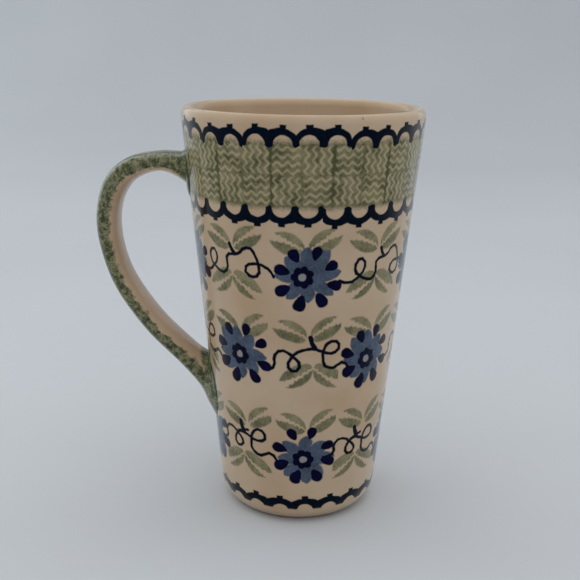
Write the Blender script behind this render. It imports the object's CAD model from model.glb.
"""A tall conical stoneware mug with a sponged strap handle, standing on a plain studio floor.

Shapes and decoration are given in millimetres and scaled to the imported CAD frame's metres.
On the wall, `turn` is the angle round the mug from its front towards the right, `across` is a
distance round it and `rise` a distance up it. A mask is 1 inside a painted shape and 0 outside.
"""

import math
from collections import namedtuple

import bpy
import numpy as np
from mathutils import Matrix, Vector


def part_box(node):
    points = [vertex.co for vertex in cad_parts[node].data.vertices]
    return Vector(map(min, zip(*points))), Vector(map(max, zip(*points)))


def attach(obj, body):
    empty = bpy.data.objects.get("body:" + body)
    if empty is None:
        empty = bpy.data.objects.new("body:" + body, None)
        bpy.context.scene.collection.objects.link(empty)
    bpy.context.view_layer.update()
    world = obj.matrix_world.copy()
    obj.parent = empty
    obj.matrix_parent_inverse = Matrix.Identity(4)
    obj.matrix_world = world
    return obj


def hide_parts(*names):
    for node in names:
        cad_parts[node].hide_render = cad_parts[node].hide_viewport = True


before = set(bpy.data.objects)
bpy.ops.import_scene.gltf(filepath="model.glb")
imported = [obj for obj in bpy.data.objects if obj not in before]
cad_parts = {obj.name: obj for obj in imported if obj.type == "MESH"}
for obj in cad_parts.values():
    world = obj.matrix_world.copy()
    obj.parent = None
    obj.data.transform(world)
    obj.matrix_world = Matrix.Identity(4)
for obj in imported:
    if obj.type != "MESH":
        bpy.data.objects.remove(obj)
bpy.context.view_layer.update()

MM = 0.001

# The body's shape, in millimetres.
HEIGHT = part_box("mug_body")[1].z / MM
WALL = 4.0
RIM_RADIUS = 44.1  # where the straight wall would reach the rim's height
BASE_RADIUS = 29.0  # where it would reach the table
SLOPE = (RIM_RADIUS - BASE_RADIUS) / HEIGHT
FLOOR = 7.0
HEEL_DEPTH = 7.8
HEEL_HEIGHT = 11.0
LIP_HEIGHT = 3.2  # the rim rounds over on both sides from this far below its crest
INNER_CORNER = 9.0
FOOT_RECESS = 0.7  # depth of the glazed hollow inside the foot ring
FOOT_RING = 3.2  # width of the bare clay ring that the mug stands on

# The handle's two edge lines, as [reach from the mug's axis, height] in millimetres.
OUTER_EDGE = [
    (35, 133.6), (43, 133.2), (53, 133.2), (63.9, 130.6), (71.7, 123.3), (75.1, 111), (74.2, 98.4),
    (68.9, 82.7), (58.1, 66.6), (45.3, 53.3), (37.9, 44.4), (33.7, 36.5), (27, 28),
]
INNER_EDGE = [
    (35, 115.6), (41, 121.8), (50.5, 126.2), (59.6, 123.4), (64.6, 117.1), (66.7, 108.4), (65.8, 97.2),
    (61.7, 85.9), (52.1, 71.9), (40.7, 60.5), (36, 57), (33, 55), (26, 53),
]
STRAP_WIDTH = 16.0
UPPER_WIDTH = 20.0  # where the strap meets the wall
LOWER_WIDTH = 26.0
FLARE_LENGTH = 0.17  # part of the handle's length over which each end widens
STRAP_ROUNDNESS = 2.5  # exponent of the section's superellipse: 2 is an ellipse, more is boxier

# The decoration's layout on the wall: heights in millimetres, turns in degrees.
WEAVE_FOOT = 120.8
WEAVE_BLOCK = 10.0  # height of one of the weave's two rows of blocks
WEAVE_COLUMNS = 26
TOP_ARCHES = 30
TOP_ARCH_HEIGHT = 140.5
TOP_ARCH_TURN = 3.2
LOW_ARCHES = 29
LOW_ARCH_HEIGHT = 119.9
LOW_ARCH_TURN = 3.5 - 360 / LOW_ARCHES
FOOT_ARCHES = 20
FOOT_ARCH_HEIGHT = 5.1
FOOT_ARCH_TURN = 5.0
ROW_HEIGHTS = (97.1, 65.8, 27.9)  # the three rows of flowers, from the top
ROW_TURNS = (0.8, 38.5, 3.0)  # where a flower of each row stands
ROW_LIMITS = (84.3, 51.9)  # between the first and second row, and the second and third
FLOWERS_ROUND = 5
FLOWER_PITCH = 2 * math.pi / FLOWERS_ROUND
PETAL_PITCH = 2 * math.pi / 8  # between two of a flower's petals
HAND_SHAKE = 0.7  # span over which the painted edges wander


# ---------------------------------------------------------------- numbers that vary over a surface


class Number:
    """A shader socket that carries one number. Arithmetic on it adds Math nodes to its tree."""

    def __init__(self, tree, socket):
        self.tree = tree
        self.socket = socket

    def __add__(self, other):
        return calc("ADD", self, other)

    def __radd__(self, other):
        return calc("ADD", other, self)

    def __sub__(self, other):
        return calc("SUBTRACT", self, other)

    def __rsub__(self, other):
        return calc("SUBTRACT", other, self)

    def __mul__(self, other):
        return calc("MULTIPLY", self, other)

    def __rmul__(self, other):
        return calc("MULTIPLY", other, self)

    def __truediv__(self, other):
        return calc("DIVIDE", self, other)

    def __neg__(self):
        return calc("MULTIPLY", self, -1.0)

    def __abs__(self):
        return calc("ABSOLUTE", self)


def put(tree, socket, value):
    """Links a Number or a socket into an input, or sets its fixed value."""
    if isinstance(value, Number):
        tree.links.new(value.socket, socket)
    elif isinstance(value, bpy.types.NodeSocket):
        tree.links.new(value, socket)
    else:
        socket.default_value = value


def calc(operation, *values):
    tree = next(v.tree for v in values if isinstance(v, Number))
    node = tree.nodes.new("ShaderNodeMath")
    node.operation = operation
    for socket, value in zip(node.inputs, values):
        put(tree, socket, value)
    return Number(tree, node.outputs[0])


def clamped(value):
    """value held between 0 and 1."""
    node = value.tree.nodes.new("ShaderNodeClamp")
    put(value.tree, node.inputs["Value"], value)
    return Number(value.tree, node.outputs[0])


def least(a, b):
    return calc("MINIMUM", a, b)


def most(a, b):
    return calc("MAXIMUM", a, b)


def both(a, b):
    """Where both masks hold."""
    return calc("MULTIPLY", a, b)


def either(a, b):
    """Where either mask holds."""
    return calc("MAXIMUM", a, b)


def over(a, limit):
    return calc("GREATER_THAN", a, limit)


def length(a, b):
    """The length of (a, b)."""
    return calc("SQRT", calc("MULTIPLY_ADD", a, a, b * b))


def sine(a):
    return calc("SINE", a)


def cosine(a):
    return calc("COSINE", a)


def inside(distance, softness=0.25):
    """1 where a distance is negative, 0 where it is positive, with a soft edge that wide."""
    return clamped(calc("MULTIPLY_ADD", distance, -1.0 / softness, 0.5))


def ramp(value, start, end):
    """0 at start, 1 at end, straight between them."""
    return clamped(calc("MULTIPLY_ADD", value, 1.0 / (end - start), -start / (end - start)))


def vector(tree, x=0.0, y=0.0, z=0.0):
    node = tree.nodes.new("ShaderNodeCombineXYZ")
    for socket, value in zip(node.inputs, (x, y, z)):
        put(tree, socket, value)
    return node.outputs[0]


def vector_calc(tree, operation, *values):
    node = tree.nodes.new("ShaderNodeVectorMath")
    node.operation = operation
    for socket, value in zip(node.inputs, values):
        put(tree, socket, value)
    return node


def noise(tree, place, scale, detail=2.0, roughness=0.5):
    """Smooth noise around 0.5 at a surface_point; scale is in features per millimetre."""
    node = tree.nodes.new("ShaderNodeTexNoise")
    put(tree, node.inputs["Vector"], place)
    node.inputs["Scale"].default_value = scale
    node.inputs["Detail"].default_value = detail
    node.inputs["Roughness"].default_value = roughness
    return Number(tree, node.outputs["Fac"])


def chance(number, salt):
    """A fixed random number from 0 to 1 for each whole number."""
    node = number.tree.nodes.new("ShaderNodeTexWhiteNoise")
    node.noise_dimensions = "1D"
    put(number.tree, node.inputs["W"], number + salt * 0.371)
    return Number(number.tree, node.outputs["Value"])


def mix(tree, factor, under, on_top):
    """on_top where factor is 1, under where it is 0. Both are colours."""
    node = tree.nodes.new("ShaderNodeMix")
    node.data_type = "RGBA"
    put(tree, node.inputs["Factor"], factor)
    put(tree, node.inputs["A"], colour(under))
    put(tree, node.inputs["B"], colour(on_top))
    return node.outputs["Result"]


def colour(value):
    """A socket as it is, or an (r, g, b) with its alpha."""
    return (*value, 1.0) if isinstance(value, tuple) else value


def in_order(tree, tone, *stops):
    """A colour that runs through (position, colour) stops as tone goes from 0 to 1."""
    node = tree.nodes.new("ShaderNodeValToRGB")
    put(tree, node.inputs["Fac"], tone)
    elements = node.color_ramp.elements
    while len(elements) < len(stops):
        elements.new(0.5)
    for element, (position, rgb) in zip(elements, stops):
        element.position = position
        element.color = colour(rgb)
    return node.outputs["Color"]


# ---------------------------------------------------------------- colours, linear

CREAM = (0.620, 0.455, 0.310)
CREAM_WARM = (0.585, 0.410, 0.268)
CREAM_PALE = (0.655, 0.495, 0.350)
SAGE_PALE = (0.300, 0.270, 0.155)
SAGE = (0.205, 0.195, 0.105)
SAGE_DARK = (0.101, 0.113, 0.062)
WEAVE_PALE = (0.310, 0.265, 0.155)
WEAVE = (0.195, 0.182, 0.095)
WEAVE_DARK = (0.068, 0.079, 0.032)
WAVE = (0.500, 0.415, 0.250)
SLATE = (0.088, 0.128, 0.200)
SLATE_DARK = (0.046, 0.068, 0.108)
MISTY = (0.330, 0.320, 0.300)
COBALT = (0.003, 0.003, 0.032)
COBALT_DARK = (0.001, 0.002, 0.016)
NAVY = (0.001, 0.003, 0.014)
NAVY_TEAL = (0.001, 0.007, 0.014)
GREEN_DARK = (0.024, 0.046, 0.026)
GREEN = (0.080, 0.098, 0.050)
GREEN_LIGHT = (0.251, 0.256, 0.140)
IRON = (0.120, 0.060, 0.025)
CLAY = (0.420, 0.290, 0.190)
PAPER = (0.645, 0.652, 0.672)
PAPER_PALE = (0.675, 0.682, 0.702)
WHITE_LIGHT = (0.97, 0.98, 1.0)
COOL_LIGHT = (0.86, 0.97, 1.0)
ROOM_LIGHT = (0.88, 0.93, 1.0)


# ---------------------------------------------------------------- painted motifs, in millimetres


def arch_border(turn, radius, rise, count, lead, salt, broken=1.0):
    """Mask of a row of stamped arches with a knob on each, two to a stamp.

    rise is measured from the middle of the arches' hollows and lead is where one arch stands.
    broken is how deep the notch between two stamps goes, from 0 to 1.
    """
    hollow_radius = 3.15
    crown_radius = 5.3
    joined_radius = 11.2  # the flatter crown of two arches in one stamp
    joined_drop = 5.6
    knob_half_width, knob_half_height, knob_rise = 1.15, 1.05, 5.4
    numbered_from = 16.0  # keeps the odd arch of an odd count round the back
    pitch = 2 * math.pi / count
    spread = turn - lead
    cell = calc("ROUND", spread / pitch)
    across = (spread - cell * pitch) * radius
    stamp = calc("FLOOR", calc("FLOORED_MODULO", cell + numbered_from, float(count)) / 2.0)
    beyond = calc("FLOORED_MODULO", cell + calc("SIGN", across) + numbered_from, float(count))
    at_break = over(abs(stamp - calc("FLOOR", beyond / 2.0)), 0.5)
    rise = rise - sine(stamp * 2.1 + salt) * 0.45 * broken
    across = across + (chance(stamp, salt) - 0.5) * 0.7
    hollow = hollow_radius - length(across, rise)
    joined = length(across, rise + joined_drop) - joined_radius
    parted = length(across, rise) - crown_radius
    crown = joined + (parted - joined) * at_break * broken
    from_foot = radius * (pitch / 2) - abs(across)
    foot = least(from_foot * from_foot, 3.0) * 0.35 - 0.9 - rise
    arch = most(most(crown, hollow), foot)
    knob = most(abs(across) - knob_half_width, abs(rise - knob_rise) - knob_half_height)
    return inside(least(arch, knob), 0.35)


def basket_weave(turn, radius, rise):
    """Masks of the woven band: its pale waves, and the dark joins between two stamps."""
    wave_gap = 2.5
    wave_swing = 0.55
    wave_pace = 1.85  # radians of a wave to a millimetre
    half_line = 0.46
    pitch = 2 * math.pi / WEAVE_COLUMNS
    column = calc("FLOOR", turn / pitch)
    row = over(rise, WEAVE_BLOCK)
    upright = calc("FLOORED_MODULO", column + row, 2.0)
    across = (turn - (column + 0.5) * pitch) * radius
    up = rise - (row + 0.5) * WEAVE_BLOCK
    along = across + (up - across) * upright
    beside = up + (across - up) * upright
    start = chance(column + row * 40.0, 3.0) * 6.0
    wave = beside + sine(along * wave_pace + start) * wave_swing
    line = abs(calc("WRAP", wave + wave_gap / 2, wave_gap / 2, -wave_gap / 2))
    edge = most(abs(along) - 4.6, abs(beside) - 5.1)
    waves = both(inside(line - half_line, 0.6), inside(edge, 0.6))
    join = abs(calc("WRAP", turn - pitch, pitch, -pitch)) * radius
    return waves, inside(join - 0.7, 1.2)


def petals_of(across, rise, salt):
    """Mask of a flower's eight pale pointed petals and the disc they spring from."""
    disc_radius = 5.9
    half_width = 3.0
    reach = length(across, rise)
    angle = calc("ARCTAN2", rise, across) - 0.03
    petal = calc("ROUND", angle / PETAL_PITCH)
    side = angle - petal * PETAL_PITCH + (chance(petal + salt, 5.0) - 0.5) * 0.16
    long = chance(petal + salt, 11.0) * 2.2 + 3.7
    share = (reach * cosine(side) - disc_radius) / long
    outline = calc("POWER", most(1.0 - share * share, 0.0), 0.72) * half_width
    blade = abs(reach * sine(side)) + 0.3 - outline
    return inside(least(blade, reach - disc_radius), 0.7)


def tips_of(across, rise, salt):
    """Mask of the eight dark drops at the ends of a flower's petals."""
    drop_reach = 9.3
    half_length, half_width = 2.7, 1.85
    reach = length(across, rise)
    angle = calc("ARCTAN2", rise, across) - math.radians(29.5)
    tip = calc("ROUND", angle / PETAL_PITCH)
    away = angle - tip * PETAL_PITCH + (chance(tip + salt, 17.0) - 0.5) * 0.12
    size = 1.0 - sine(tip * PETAL_PITCH + 0.9) * 0.11
    forward = (reach * cosine(away) - drop_reach + (chance(tip + salt, 23.0) - 0.5) * 0.7) / size
    sideways = reach * sine(away) / size
    drop = length(forward / half_length, sideways / (half_width + forward * 0.24)) - 1.0
    return inside(drop * 2.0, 0.3)


def ring_of(across, rise, salt):
    """Masks of the lobed dark ring at a flower's middle and of the pale eye inside it."""
    ring_radius, lobe_height = 3.25, 0.75
    eye_radius = 1.35
    reach = length(across, rise)
    angle = calc("ARCTAN2", rise, across)
    lobes = abs(sine(angle * 3.5 + salt)) * lobe_height + ring_radius
    return inside(reach - lobes, 0.4), inside(reach - eye_radius, 0.4)


def leaf(along, beside, bend, vein_at):
    """(mask, shade) of a stamped leaf: shade is 1 on the side of the vein that is darker.

    along runs from its stalk to its forked end, bend is how far its middle bows sideways and
    vein_at is how far the bare vein lies beside its middle.
    """
    leaf_length = 11.6
    half_width = 3.4
    share = clamped(along / leaf_length)
    belly = calc("POWER", share * (1.0 - share) * 4.0, 0.52)
    curve = beside - belly * bend + 0.3
    outline = abs(curve) - belly * half_width
    ragged = sine(along * 3.3) * 0.17 + sine(along * 5.9 + 1.0) * 0.11
    vein = abs(curve - vein_at + ragged) - (calc("POWER", share, 2.5) * 1.25 + 0.32)
    ends = abs(along - leaf_length / 2) - leaf_length / 2
    mask = inside(most(most(outline, ends), -vein), 0.6)
    return mask, inside(curve - vein_at, 2.0)


def leaf_pair(across, rise, right, left, bend=0.7, vein_at=0.35, grown=1.0):
    """Two leaves spread from one point; right and left are their angles above the horizontal.

    grown is their size, 1 for a leaf of leaf()'s own length.
    """
    angle = calc("MULTIPLY_ADD", over(across, 0.0), right - left, left)
    out = abs(across) - 0.35
    level = cosine(angle)
    steep = sine(angle)
    along = out * level + rise * steep
    return leaf((along - 0.5) / grown, (rise * level - out * steep) / grown, bend, vein_at)


def brushed(points, spacing=1.75):
    """The points of a smooth line through points, spaced evenly, ready for stroke()."""
    steps = 400
    fine = [smooth_line(points, i / steps) for i in range(steps + 1)]
    run = np.concatenate([[0.0], np.cumsum([math.dist(a, b) for a, b in zip(fine, fine[1:])])])
    count = max(1, round(run[-1] / spacing))
    picks = np.interp(np.linspace(0, run[-1], count + 1), run, np.arange(steps + 1))
    return [tuple(float(c) for c in fine[round(i)]) for i in picks]


def stroke(tree, spot, points, reach=None):
    """Distance from a brushed line through points; reach is the distance from earlier lines."""
    for (x0, y0), (x1, y1) in zip(points, points[1:]):
        run = Vector((x1 - x0, y1 - y0, 0.0))
        from_start = vector_calc(tree, "SUBTRACT", spot, (x0, y0, 0.0)).outputs["Vector"]
        along = vector_calc(tree, "DOT_PRODUCT", from_start, run / run.length_squared).outputs["Value"]
        share = clamped(Number(tree, along))
        nearest = vector_calc(tree, "SCALE", run)
        put(tree, nearest.inputs["Scale"], share)
        gap = vector_calc(tree, "DISTANCE", from_start, nearest.outputs["Vector"]).outputs["Value"]
        gap = Number(tree, gap)
        reach = gap if reach is None else least(reach, gap)
    return reach


# Vines between two flowers, as (across, rise) from the middle of the gap between them.
LOW_VINE = [
    (-13.2, -4.5), (-11.2, -5.3), (-8.5, -5.3), (-6.4, -3.8), (-4.4, -2.0), (-3.6, 0.3), (-4.4, 2.3),
    (-6.0, 2.8), (-7.5, 1.5), (-7.7, -0.7), (-6.8, -2.5), (-5.1, -3.6), (-2.7, -4.7), (-0.3, -4.8),
    (1.2, -3.3), (1.4, -1.0), (1.2, 1.2), (2.4, 2.1), (5.1, 2.5), (6.9, 3.1), (8.6, 4.9), (11.0, 5.6),
    (12.7, 4.3), (13.7, 1.8), (14.4, -0.7), (14.2, -3.2), (12.7, -4.5), (10.6, -4.4), (9.1, -3.0),
    (9.6, -0.9), (11.7, 0.1), (14.4, 0.1), (16.7, -0.4), (18.4, -1.7), (19.4, -3.7),
]
LOW_TICK = [(3.0, 5.8), (3.8, 4.0), (5.0, 2.6)]
HIGH_CURL = [
    (-14.3, -6.2), (-11.8, -5.7), (-10.4, -4.2), (-10.7, -1.7), (-9.9, 0.5), (-8.1, 1.5), (-5.9, 0.8),
    (-4.0, -0.7), (-2.3, -2.3), (-1.7, -4.3), (-2.8, -6.0), (-4.3, -6.2), (-5.6, -4.7), (-5.5, -2.7),
    (-4.3, -0.7), (-2.5, 1.0), (-0.3, 2.0), (0.9, 2.2),
]
HIGH_VINE = [
    (0.6, 2.1), (2.2, 2.3), (4.7, 1.8), (6.8, 0.8), (9.0, 0.3), (11.2, 0.8), (12.3, 2.5), (11.5, 4.5),
    (9.6, 5.1), (7.8, 4.0), (6.6, 2.0), (6.4, -0.5), (6.5, -3.0), (7.8, -4.8), (9.9, -5.3),
    (11.5, -4.7), (13.3, -3.5), (14.9, -4.2), (16.0, -5.7),
]
HIGH_TICK = [(1.9, 6.5), (2.4, 4.5), (3.4, 2.5)]


def vines(tree, across, rise, row):
    """Mask of the brushed vine: LOW_VINE in the first row, the HIGH ones in the others."""
    low_brush, high_brush = 0.56, 0.60  # half the width of the brush's line
    spot = vector(tree, across, rise)
    tick = stroke(tree, spot, LOW_TICK) - 0.2
    low = inside(stroke(tree, spot, brushed(LOW_VINE), tick) - low_brush, 0.35)
    tick = stroke(tree, spot, HIGH_TICK) - 0.28
    high = stroke(tree, spot, brushed(HIGH_VINE), tick)
    curl_across = across - by_row(row, 0.0, 0.0, 4.2)
    curl_rise = (rise - by_row(row, 0.0, 0.0, 1.7)) * by_row(row, 1.0, 1.0, 1.12)
    curl = vector(tree, curl_across, curl_rise)
    high = stroke(tree, curl, brushed(HIGH_CURL), high)
    high = inside(high - high_brush, 0.35)
    return low + (high - low) * row.below_first


def nearest_stamp(turn, radius, first, pitch, swing):
    """(which, across): the number of the nearest stamp round the mug, and the distance from it.

    Stamps stand pitch apart from first on, and stray sideways by swing times the sine of the turn.
    """
    spread = turn - sine(turn) * swing / radius - first
    which = calc("ROUND", spread / pitch)
    where = which * pitch + first
    across = (turn - where) * radius - sine(where) * swing
    return which, across


# Two masks that say which row of flowers a point belongs to.
Row = namedtuple("Row", "below_first below_second")


def by_row(row, first, second, third):
    """The one of the three values that belongs to the point's row of flowers."""
    value = first
    for below, step in ((row.below_first, second - first), (row.below_second, third - second)):
        if step:
            value = below * step + value
    return value


# ---------------------------------------------------------------- materials


def new_material(name):
    """(material, tree, Principled shader) of an empty material."""
    material = bpy.data.materials.new(name)
    material.use_nodes = True
    tree = material.node_tree
    tree.nodes.clear()
    shader = tree.nodes.new("ShaderNodeBsdfPrincipled")
    output = tree.nodes.new("ShaderNodeOutputMaterial")
    tree.links.new(shader.outputs["BSDF"], output.inputs["Surface"])
    return material, tree, shader


def surface_point(tree, offset=(0.0, 0.0, 0.0)):
    """The surface point in millimetres, moved by offset so that noise there differs."""
    source = tree.nodes.new("ShaderNodeTexCoord")
    mapping = tree.nodes.new("ShaderNodeMapping")
    tree.links.new(source.outputs["Object"], mapping.inputs["Vector"])
    mapping.inputs["Scale"].default_value = (1 / MM,) * 3
    mapping.inputs["Location"].default_value = offset
    return mapping.outputs["Vector"]


def place_on(tree):
    """The surface point in millimetres in the mug's frame, as (vector, x, y, z)."""
    place = surface_point(tree)
    apart = tree.nodes.new("ShaderNodeSeparateXYZ")
    tree.links.new(place, apart.inputs[0])
    return place, *(Number(tree, apart.outputs[i]) for i in range(3))


def finish_glaze(tree, shader, place, base_colour, roughness=0.12, falloff=4.0):
    """A clear gloss glaze over base_colour: slightly uneven, and glossiest at a glancing angle.

    The higher falloff is, the closer to the outline the gloss stays.
    """
    least_gloss, edge_gloss, most_gloss = 0.03, 2.6, 0.9
    put(tree, shader.inputs["Base Color"], base_colour)
    shader.inputs["IOR"].default_value = 1.5
    facing = tree.nodes.new("ShaderNodeLayerWeight")
    facing.inputs["Blend"].default_value = 0.5
    facing = Number(tree, facing.outputs["Facing"])
    gloss = least(calc("POWER", facing, falloff) * edge_gloss, most_gloss) + least_gloss
    put(tree, shader.inputs["Specular IOR Level"], gloss)
    put(tree, shader.inputs["Roughness"], noise(tree, place, 0.12, 2.0) * 0.08 + (roughness - 0.04))
    height = noise(tree, place, 0.09, 1.0) * 0.30 + noise(tree, place, 0.9, 1.0) * 0.012  # millimetres
    bump = tree.nodes.new("ShaderNodeBump")
    bump.inputs["Strength"].default_value = 1.0
    bump.inputs["Distance"].default_value = MM
    put(tree, bump.inputs["Height"], height)
    tree.links.new(bump.outputs["Normal"], shader.inputs["Normal"])


def sponge_green(tree, place):
    """The dabbed green of the handle: dark and light blots."""
    tone = noise(tree, place, 0.55, 3.0, 0.6) * 0.65 + noise(tree, place, 1.6, 2.0, 0.6) * 0.35
    stops = (0.38, GREEN_DARK), (0.47, GREEN), (0.56, GREEN_LIGHT), (0.66, SAGE_PALE)
    return in_order(tree, tone, *stops)


def stained_cream(tree, place):
    """Cream stoneware under clear glaze, with faint clouds."""
    clouds = noise(tree, place, 0.035, 3.0, 0.55)
    return in_order(tree, clouds, (0.35, CREAM_WARM), (0.5, CREAM), (0.68, CREAM_PALE))


class Wall:
    """Where a surface point lies on the mug, and the colour painted there so far."""

    def __init__(self, tree):
        self.tree = tree
        place, x, y, z = place_on(tree)
        self.place = place
        self.z = z
        self.grain = noise(tree, place, 1.1, 2.0, 0.6)
        self.wash = noise(tree, place, 0.22, 2.0, 0.55)
        self.radial = length(x, y)
        self.radius = z * SLOPE + BASE_RADIUS
        self.outside = over(self.radial - self.radius, -WALL / 2)
        shaky = (noise(tree, place, 0.4, 1.0) - 0.5) * HAND_SHAKE
        self.turn = calc("ARCTAN2", x, -y) + shaky / self.radius
        elsewhere = surface_point(tree, (70.0, 30.0, 50.0))
        self.height = z + (noise(tree, elsewhere, 0.4, 1.0) - 0.5) * HAND_SHAKE
        self.skin = stained_cream(tree, place)

    def paint(self, mask, strength, on_top):
        """Lays a colour over the outside of the wall only."""
        self.skin = mix(self.tree, both(mask, self.outside) * strength, self.skin, on_top)

    def stamp(self, first, pitch, swing):
        return nearest_stamp(self.turn, self.radius, first, pitch, swing)

    def arches(self, rise, count, lead, salt, broken=1.0):
        return arch_border(self.turn, self.radius, rise, count, math.radians(lead), salt, broken)


def paint_weave(wall):
    """The sage band of basket weave, dabbed on between the two borders."""
    ragged = wall.height + (wall.grain - 0.5) * 2.4
    lower_edge = ramp(ragged, 118.9, 120.7)
    upper_edge = ramp(ragged, 142.8, 140.6)
    sponged = both(lower_edge, upper_edge)
    waves, joins = basket_weave(wall.turn, wall.radius, wall.height - WEAVE_FOOT)
    tone = wall.grain * 0.35 + wall.wash * 0.65 - joins * 0.15
    stops = (0.36, WEAVE_DARK), (0.50, WEAVE), (0.64, WEAVE_PALE)
    wall.paint(sponged, 0.95, in_order(wall.tree, tone, *stops))
    wall.paint(waves * sponged, ramp(wall.wash, 0.34, 0.58) * 0.35 + 0.55, WAVE)


def paint_leaves(wall, row, rise, flower_turn):
    """A raised pair of leaves over every flower and gap, and a drooping pair under each gap."""
    which, across = wall.stamp(flower_turn, FLOWER_PITCH / 2, 3.7)
    upper = over(rise, by_row(row, 4.5, 4.5, 6.5))
    under_gap = calc("FLOORED_MODULO", which, 2.0)
    raised, raised_shade = leaf_pair(
        (across - 1.4) * by_row(row, 1.0, 1.0, 1.08),
        rise - by_row(row, 8.0, 8.3, 10.9),
        right=0.55,
        left=0.40,
        grown=1.09,
    )
    drooped, drooped_shade = leaf_pair(
        across + by_row(row, -0.8, -3.0, 1.1),
        rise + by_row(row, 0.0, 0.9, 0.2),
        right=-0.60,
        left=-0.57,
        bend=-0.75,
        vein_at=-0.6,
        grown=1.12,
    )
    drooped = drooped * under_gap
    leaves = drooped + (raised - drooped) * upper
    shade = drooped_shade + (raised_shade - drooped_shade) * upper
    tone = wall.grain * 0.4 + wall.wash * 0.6 - shade * 0.07 + 0.02
    stops = (0.34, SAGE_DARK), (0.48, SAGE), (0.62, SAGE_PALE)
    wall.paint(leaves, 0.92, in_order(wall.tree, tone, *stops))


def paint_petals(wall, row, across, rise, salt):
    """The slate-blue petals of each flower and the disc they spring from."""
    petals = petals_of(
        across + by_row(row, -1.7, 0.2, -0.7),
        rise + by_row(row, -0.6, -0.8, 0.0),
        salt,
    )
    tone = wall.grain * 0.5 + wall.wash * 0.5
    wall.paint(petals, 0.97, in_order(wall.tree, tone, (0.38, SLATE_DARK), (0.62, SLATE)))


def vine_mask(wall, row, rise, flower_turn):
    """Mask of the vines between the flowers, half a pitch on from them."""
    swing = by_row(row, 5.5, 5.5, 2.9)
    gap_across = wall.stamp(flower_turn + FLOWER_PITCH / 2, FLOWER_PITCH, swing)[1]
    tilt = sine(wall.turn) * by_row(row, 0.85, 0.0, 1.3)
    return vines(
        wall.tree,
        gap_across + by_row(row, 1.6, 0.0, 4.1),
        rise + tilt + by_row(row, -2.7, -2.5, -4.2),
        row,
    )


def paint_borders(wall, navy):
    """Arches under the rim, hanging arches under the weave, and arches at the foot."""
    top = wall.arches(wall.height - TOP_ARCH_HEIGHT, TOP_ARCHES, TOP_ARCH_TURN, 4.5)
    low = wall.arches(LOW_ARCH_HEIGHT - wall.height, LOW_ARCHES, LOW_ARCH_TURN, 0.9, 0.65)
    borders = either(top, low)
    flattened = (wall.height - FOOT_ARCH_HEIGHT) * 0.95
    foot = wall.arches(flattened, FOOT_ARCHES, FOOT_ARCH_TURN, 3.0, 0.3)
    borders = either(borders, foot * ramp(wall.height, 5.9, 6.5))
    wall.paint(borders, 1.0, navy)


def paint_drops(wall, row, across, rise, salt):
    """The cobalt drops round each flower, and its ring with a pale eye."""
    drops = tips_of(
        across + by_row(row, -1.7, -0.8, -0.4),
        rise + by_row(row, 0.4, -0.6, -1.5),
        salt,
    )
    cobalt = in_order(wall.tree, wall.wash, (0.40, COBALT_DARK), (0.60, COBALT))
    wall.paint(drops, 1.0, cobalt)
    ring, eye = ring_of(across, rise, salt)
    wall.paint(ring, 1.0, cobalt)
    wall.paint(eye, 0.95, MISTY)


def paint_iron_speck(wall):
    """A single iron speck in the clay on the rim's outer side."""
    speck = length((wall.turn - math.radians(26.0)) * wall.radius, wall.z - 148.9)
    wall.paint(inside(speck - 0.35, 0.6), 0.6, IRON)


def bare_the_foot(wall):
    """Clay shows through thin glaze at the heel, and is bare on the foot ring."""
    ring_middle, ring_half_width = 19.6, 3.4
    wall.skin = mix(wall.tree, ramp(wall.z, 5.0, 1.0) * 0.45, wall.skin, CLAY)
    on_ring = inside(abs(wall.radial - ring_middle) - ring_half_width, 0.4)
    wall.skin = mix(wall.tree, both(inside(wall.z - 0.5, 0.5), on_ring), wall.skin, CLAY)


def body_material():
    material, tree, shader = new_material("cream_stoneware_with_stamped_flowers")
    wall = Wall(tree)
    paint_weave(wall)

    row = Row(*(calc("LESS_THAN", wall.height, limit) for limit in ROW_LIMITS))
    rise = wall.height - by_row(row, *ROW_HEIGHTS)
    flower_turn = by_row(row, *(math.radians(turn) for turn in ROW_TURNS))
    paint_leaves(wall, row, rise, flower_turn)

    flower, across = wall.stamp(flower_turn, FLOWER_PITCH, 3.0)
    salt = calc("FLOORED_MODULO", flower, float(FLOWERS_ROUND)) * 3.0 + by_row(row, 0.0, 40.0, 80.0)
    flower_rise = rise + sine(wall.turn) * by_row(row, 0.0, 1.3, 1.3) + 0.5
    paint_petals(wall, row, across, flower_rise, salt)
    vine = vine_mask(wall, row, rise, flower_turn)
    navy = in_order(tree, wall.grain, (0.35, NAVY), (0.65, NAVY_TEAL))
    wall.paint(vine, 1.0, navy)
    paint_borders(wall, navy)
    paint_drops(wall, row, across, flower_rise, salt)
    paint_iron_speck(wall)
    bare_the_foot(wall)
    finish_glaze(tree, shader, wall.place, wall.skin)
    return material


def handle_material():
    """Cream, with the outer face dabbed green; the outward attribute is 1 outside and -1 inside."""
    material, tree, shader = new_material("cream_with_green_sponged_back")
    place, x, y, z = place_on(tree)
    outward = tree.nodes.new("ShaderNodeAttribute")
    outward.attribute_name = "outward"
    outward = Number(tree, outward.outputs["Fac"])
    edge = outward + (noise(tree, place, 0.45, 2.0, 0.6) - 0.5) * 0.9
    from_wall = length(x, y) - (z * SLOPE + BASE_RADIUS)
    near_wall = inside(from_wall - 1.5 - noise(tree, place, 0.3, 2.0) * 2.5, 1.2)
    green = either(ramp(edge, -0.46, -0.28), near_wall)
    skin = mix(tree, green * 0.95, stained_cream(tree, place), sponge_green(tree, place))
    finish_glaze(tree, shader, place, skin, 0.14, 2.5)
    return material


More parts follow.
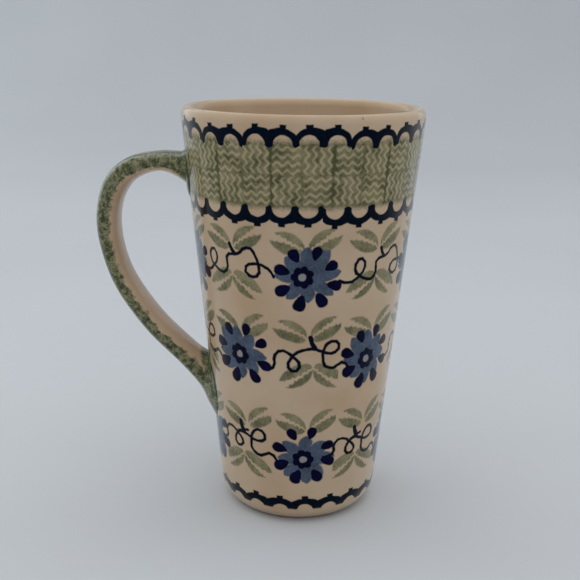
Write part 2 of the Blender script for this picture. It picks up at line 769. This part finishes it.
def slip_material():
    """Glaze pooled dark green in the joint."""
    material, tree, shader = new_material("pooled_green_glaze")
    place = surface_point(tree)
    tone = noise(tree, place, 0.5, 3.0, 0.6)
    skin = in_order(tree, tone, (0.35, GREEN_DARK), (0.55, GREEN), (0.72, GREEN_LIGHT))
    finish_glaze(tree, shader, place, skin, 0.10, 2.5)
    return material


# ---------------------------------------------------------------- meshes


def add_piece(name, points, faces, material, nodes):
    """A smooth-shaded piece of the object, in place of its CAD nodes. Points are in millimetres."""
    mesh = bpy.data.meshes.new(name)
    mesh.from_pydata([tuple(MM * c for c in p) for p in points], [], faces)
    mesh.materials.append(material)
    mesh.shade_smooth()
    piece = bpy.data.objects.new(name, mesh)
    bpy.context.scene.collection.objects.link(piece)
    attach(piece, "root")
    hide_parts(*nodes)
    return piece


def arc_run(x, z, wide, tall, start, end, steps):
    """Profile points (radius, height) along an elliptical arc; angles in radians."""
    angles = [start + (end - start) * i / steps for i in range(steps + 1)]
    return [(x + wide * math.cos(angle), z + tall * math.sin(angle)) for angle in angles]


def straight_run(start, end, steps):
    """Profile points after start, up to and without end."""
    return [
        (start[0] + (end[0] - start[0]) * i / steps, start[1] + (end[1] - start[1]) * i / steps)
        for i in range(1, steps)
    ]


def outer_radius(z):
    return BASE_RADIUS + SLOPE * z


def body_profile():
    """(radius, height) from the middle of the underside, out, up, over the lip and down inside."""
    lean = math.atan(SLOPE)
    heel_end = -math.atan(math.tan(lean) * HEEL_HEIGHT / HEEL_DEPTH)
    heel_top = HEEL_HEIGHT * (1 + math.sin(heel_end))
    heel_x = outer_radius(heel_top) - HEEL_DEPTH * math.cos(heel_end)
    lip_x = outer_radius(HEIGHT - LIP_HEIGHT) - WALL / 2
    corner_z = FLOOR + INNER_CORNER
    corner_x = outer_radius(corner_z) - WALL - INNER_CORNER / math.cos(lean)
    ring_in = heel_x - FOOT_RING
    hollow = arc_run(ring_in - 1.2, FOOT_RECESS - 0.5, 0.5, 0.5, math.pi / 2, 0, 4)
    ring = arc_run(ring_in, 0.3, 0.3, 0.3, math.pi, 1.5 * math.pi, 4)
    heel = arc_run(heel_x, HEEL_HEIGHT, HEEL_DEPTH, HEEL_HEIGHT, -math.pi / 2, heel_end, 20)
    rim = arc_run(lip_x, HEIGHT - LIP_HEIGHT, WALL / 2, LIP_HEIGHT, 0, math.pi, 28)
    corner = arc_run(corner_x, corner_z, INNER_CORNER, INNER_CORNER, -lean, -math.pi / 2, 14)
    return [
        (0.0, FOOT_RECESS),
        *straight_run((0, FOOT_RECESS), hollow[0], 6), *hollow,
        *ring,
        *straight_run(ring[-1], heel[0], 3), *heel,
        *straight_run(heel[-1], rim[0], 60), *rim,
        *straight_run(rim[-1], corner[0], 40), *corner,
        *straight_run(corner[-1], (0, FLOOR), 8),
        (0.0, FLOOR),
    ]


def lift_of_hand(turn, z):
    """How far, in millimetres, the turned wall strays from a true circle: never outwards."""
    high = z / HEIGHT
    return -0.10 + 0.06 * high * math.sin(2 * turn + 0.6) + 0.04 * high * math.sin(3 * turn + 2.0)


def bake_strips(mesh, profile, around):
    """A UV map of straight strips round the mug, with most of the sheet for the painted wall."""
    unpainted_share = 0.35
    levels = [0.0]
    for (r0, z0), (r1, z1) in zip(profile, profile[1:]):
        painted = (r1 >= r0 and z1 > z0) or z1 > HEIGHT - WALL
        run = math.hypot(r1 - r0, z1 - z0)
        levels.append(levels[-1] + run * (1.0 if painted else unpainted_share))
    layer = mesh.uv_layers.new(name="OFBake")
    last = len(profile) - 1
    for polygon in mesh.polygons:
        corners = []
        for loop_index in polygon.loop_indices:
            vertex = mesh.loops[loop_index].vertex_index
            corners.append((loop_index, *vertex_place(vertex, around, last)))
        placed = [column for _, _, column in corners if column is not None]
        wraps = max(placed) - min(placed) > around / 2
        middle = sum(c + (around if wraps and c < around / 2 else 0) for c in placed) / len(placed)
        for loop_index, ring, column in corners:
            if column is None:
                column = middle
            elif wraps and column < around / 2:
                column += around
            layer.data[loop_index].uv = (column / around, levels[ring] / levels[-1])


def vertex_place(vertex, around, last):
    """(ring, column) of a vertex of the turned body; the two poles have no column."""
    if vertex == 0:
        return 0, None
    ring, column = divmod(vertex - 1, around)
    if ring == last - 1:
        return last, None
    return ring + 1, column


def build_body():
    profile = body_profile()
    around = 192
    points = [(0.0, 0.0, profile[0][1])]
    for r, z in profile[1:-1]:
        for k in range(around):
            turn = -math.pi / 2 + 2 * math.pi * k / around
            reach = r + (lift_of_hand(turn, z) if r > 5 else 0.0)
            points.append((reach * math.sin(turn), -reach * math.cos(turn), z))
    points.append((0.0, 0.0, profile[-1][1]))
    rings = len(profile) - 2
    faces = []
    for k in range(around):
        after = (k + 1) % around
        faces.append((0, 1 + after, 1 + k))
        for ring in range(rings - 1):
            low, high = 1 + ring * around, 1 + (ring + 1) * around
            faces.append((low + k, low + after, high + after, high + k))
        top = 1 + (rings - 1) * around
        faces.append((top + k, top + after, len(points) - 1))
    body = add_piece("mug_body_glazed", points, faces, body_material(), ["mug_body"])
    bake_strips(body.data, profile, around)
    return body


def smooth_line(points, share):
    """A point on a Catmull-Rom line through points, share from 0 to 1."""
    spot = share * (len(points) - 1)
    i = min(int(spot), len(points) - 2)
    t = spot - i
    p0, p1 = np.array(points[max(i - 1, 0)], float), np.array(points[i], float)
    p2, p3 = np.array(points[i + 1], float), np.array(points[min(i + 2, len(points) - 1)], float)
    v0, v1 = (p2 - p0) / 2, (p3 - p1) / 2
    return (2 * p1 - 2 * p2 + v0 + v1) * t**3 + (-3 * p1 + 3 * p2 - 2 * v0 - v1) * t**2 + v0 * t + p1


def flare(distance):
    """1 at an end of the handle, falling smoothly to 0 over FLARE_LENGTH."""
    t = min(max(distance / FLARE_LENGTH, 0.0), 1.0)
    return 1 - t * t * (3 - 2 * t)


def half_width(share):
    upper = (UPPER_WIDTH - STRAP_WIDTH) * flare(share)
    lower = (LOWER_WIDTH - STRAP_WIDTH) * flare(1 - share)
    return (STRAP_WIDTH + upper + lower) / 2


def build_handle():
    section, steps = 64, 220
    fillet, fillet_reach = 0.9, 2.5  # how far the ends swell, and how far from the wall
    power = 2 / STRAP_ROUNDNESS
    points, outward = [], []
    for step in range(steps + 1):
        share = step / steps
        outer, inner = smooth_line(OUTER_EDGE, share), smooth_line(INNER_EDGE, share)
        middle, half = (outer + inner) / 2, (outer - inner) / 2
        for k in range(section):
            angle = 2 * math.pi * k / section
            a = math.copysign(abs(math.cos(angle)) ** power, math.cos(angle))
            b = math.copysign(abs(math.sin(angle)) ** power, math.sin(angle))
            reach, z = middle + half * a
            y = b * half_width(share)
            gap = math.hypot(reach, y) - outer_radius(z)
            grown = fillet * (1 - min(max(gap / fillet_reach, 0.0), 1.0)) ** 2.5
            push = half / np.linalg.norm(half) * math.cos(angle) * grown
            points.append((-(reach + push[0]), y + math.sin(angle) * grown, z + push[1]))
            outward.append(a)
    faces = [tuple(range(section)), tuple(reversed(range(steps * section, (steps + 1) * section)))]
    for step in range(steps):
        for k in range(section):
            after = (k + 1) % section
            low, high = step * section, (step + 1) * section
            faces.append((low + after, low + k, high + k, high + after))
    material = handle_material()
    handle = add_piece("strap_handle_sponged", points, faces, material, ["handle"])
    attribute = handle.data.attributes.new("outward", "FLOAT", "POINT")
    attribute.data.foreach_set("value", outward)
    cut_to_wall(handle)
    return handle


def cut_to_wall(handle):
    """Trims the handle's ends off inside the mug's wall, where no one sees them."""
    depth, around = 1.4, 160
    points = []
    for z in (-20, HEIGHT + 20):
        for k in range(around):
            turn = 2 * math.pi * (k + 0.5) / around
            reach = outer_radius(z) - depth
            points.append((MM * reach * math.cos(turn), MM * reach * math.sin(turn), MM * z))
    faces = [tuple(reversed(range(around))), tuple(range(around, 2 * around))]
    for k in range(around):
        after = (k + 1) % around
        faces.append((k, after, around + after, around + k))
    mesh = bpy.data.meshes.new("wall_cutter")
    mesh.from_pydata(points, [], faces)
    cutter = bpy.data.objects.new("wall_cutter", mesh)
    bpy.context.scene.collection.objects.link(cutter)
    trim = handle.modifiers.new("trim", "BOOLEAN")
    trim.operation = "DIFFERENCE"
    trim.solver = "EXACT"
    trim.object = cutter
    bpy.context.view_layer.update()
    trimmed = handle.evaluated_get(bpy.context.evaluated_depsgraph_get())
    trimmed_mesh = bpy.data.meshes.new_from_object(trimmed)
    handle.modifiers.clear()
    handle.data = trimmed_mesh
    bpy.data.objects.remove(cutter)


def build_slip(name, node, centre_z, tall_up, tall_down, wide):
    """A low mound of slip on the wall round one end of the handle, tapering to nothing."""
    rings, around = 14, 72
    thick, sunk, root = 0.9, 0.12, -0.6  # its edge is sunk into the wall, and its back lies at root
    power = 2 / 2.3
    points = []
    faces = []

    def on_wall(share, angle, lift):
        tall = tall_up if math.sin(angle) > 0 else tall_down
        a = math.copysign(abs(math.cos(angle)) ** power, math.cos(angle)) * wide * share
        b = math.copysign(abs(math.sin(angle)) ** power, math.sin(angle)) * tall * share
        z = centre_z + b
        turn = -math.pi / 2 + a / outer_radius(z)
        reach = outer_radius(z) + lift
        return (reach * math.sin(turn), -reach * math.cos(turn), z)

    for ring in range(1, rings + 1):
        share = ring / rings
        lift = thick * (1 - share**6) ** 0.8 - sunk
        for k in range(around):
            points.append(on_wall(share, 2 * math.pi * k / around, lift))
    for k in range(around):
        points.append(on_wall(1.0, 2 * math.pi * k / around, root))
    top_middle = len(points)
    points.append(on_wall(0.0, 0.0, thick - sunk))
    points.append(on_wall(0.0, 0.0, root))
    for k in range(around):
        after = (k + 1) % around
        faces.append((top_middle, after, k))
        for ring in range(rings):
            low, high = ring * around, (ring + 1) * around
            faces.append((low + k, low + after, high + after, high + k))
        last = rings * around
        faces.append((last + k, last + after, top_middle + 1))
    return add_piece(name, points, faces, slip_material(), [node])


# ---------------------------------------------------------------- studio


def build_floor():
    """A pale sweep: a floor that curves up into a backdrop behind the mug."""
    half, near, bend, radius, top = 2.2, -1.6, 0.9, 0.8, 2.2
    line = [(near, 0.0), (0.0, 0.0), (bend, 0.0)]
    steps = 24
    for i in range(1, steps + 1):
        t = math.pi / 2 * i / steps
        line.append((bend + radius * math.sin(t), radius * (1 - math.cos(t))))
    line.append((bend + radius, top))
    points = [(x, y, z) for y, z in line for x in (-half, half)]
    faces = [(2 * i, 2 * i + 1, 2 * i + 3, 2 * i + 2) for i in range(len(line) - 1)]
    mesh = bpy.data.meshes.new("studio_sweep")
    mesh.from_pydata(points, [], faces)
    mesh.shade_smooth()
    material, tree, shader = new_material("pale_paper")
    tone = noise(tree, surface_point(tree), 0.004, 2.0)
    paper = in_order(tree, tone, (0.3, PAPER), (0.7, PAPER_PALE))
    put(tree, shader.inputs["Base Color"], paper)
    shader.inputs["Roughness"].default_value = 0.55
    shader.inputs["Specular IOR Level"].default_value = 0.25
    mesh.materials.append(material)
    sweep = bpy.data.objects.new("studio_sweep", mesh)
    bpy.context.scene.collection.objects.link(sweep)


def add_light(name, place, aim, size, power, tint):
    """A soft rectangular light, returned as an object."""
    light = bpy.data.lights.new(name, "AREA")
    light.shape = "RECTANGLE"
    light.size, light.size_y = size
    light.energy = power
    light.color = tint
    lamp = bpy.data.objects.new(name, light)
    lamp.location = place
    lamp.rotation_euler = (Vector(aim) - Vector(place)).to_track_quat("-Z", "Y").to_euler()
    bpy.context.scene.collection.objects.link(lamp)
    return lamp


def light_studio():
    """Broad soft lights over and round the mug, in a dim room."""
    world = bpy.data.worlds.new("studio")
    world.use_nodes = True
    background = world.node_tree.nodes["Background"]
    background.inputs["Color"].default_value = colour(ROOM_LIGHT)
    background.inputs["Strength"].default_value = 0.12
    bpy.context.scene.world = world
    middle = (0, 0, 0.08)
    add_light("overhead", (0.0, -0.12, 1.3), (0, -0.1, 0), (1.6, 1.3), 7.7, WHITE_LIGHT)
    add_light("front", (0.0, -1.3, 1.1), middle, (1.5, 1.0), 4.0, WHITE_LIGHT)
    add_light("behind", (0.0, 1.0, 1.4), middle, (1.6, 0.8), 3.3, WHITE_LIGHT)
    for side, name, sheen_power in ((-1, "left", 6.2), (1, "right", 2.8)):
        wall_place = (side * 1.6, -0.1, 0.8)
        wall = add_light(name + "_wall", wall_place, middle, (2.6, 1.8), 8.9, COOL_LIGHT)
        wall.visible_glossy = False
        sheen_place = (side * 1.3, 0.9, 0.6)
        add_light(name + "_sheen", sheen_place, middle, (1.4, 1.6), sheen_power, COOL_LIGHT)


def add_camera():
    """Looks down at the mug's front from a little above its rim."""
    camera = bpy.data.cameras.new("camera")
    camera.sensor_width = 36.0
    camera.lens = 57.77
    camera.clip_start = 0.01
    holder = bpy.data.objects.new("camera", camera)
    pitch, yaw, roll = (math.radians(a) for a in (15.25, 0.67, 0.7))
    holder.matrix_world = (
        Matrix.Translation((0.0, -0.3378, 0.1738))
        @ Matrix.Rotation(yaw, 4, "Z")
        @ Matrix.Rotation(math.pi / 2 - pitch, 4, "X")
        @ Matrix.Rotation(roll, 4, "Z")
    )
    bpy.context.scene.collection.objects.link(holder)
    bpy.context.scene.camera = holder


add_camera()
light_studio()
build_floor()
build_body()
build_handle()
build_slip("upper_slip_fillet", "upper_slip_joint", 125.6, 8.6, 8.6, 11.4)
build_slip("lower_slip_fillet", "lower_slip_joint", 47.5, 10.6, 12.5, 14.2)
bpy.context.scene.view_settings.view_transform = "Standard"
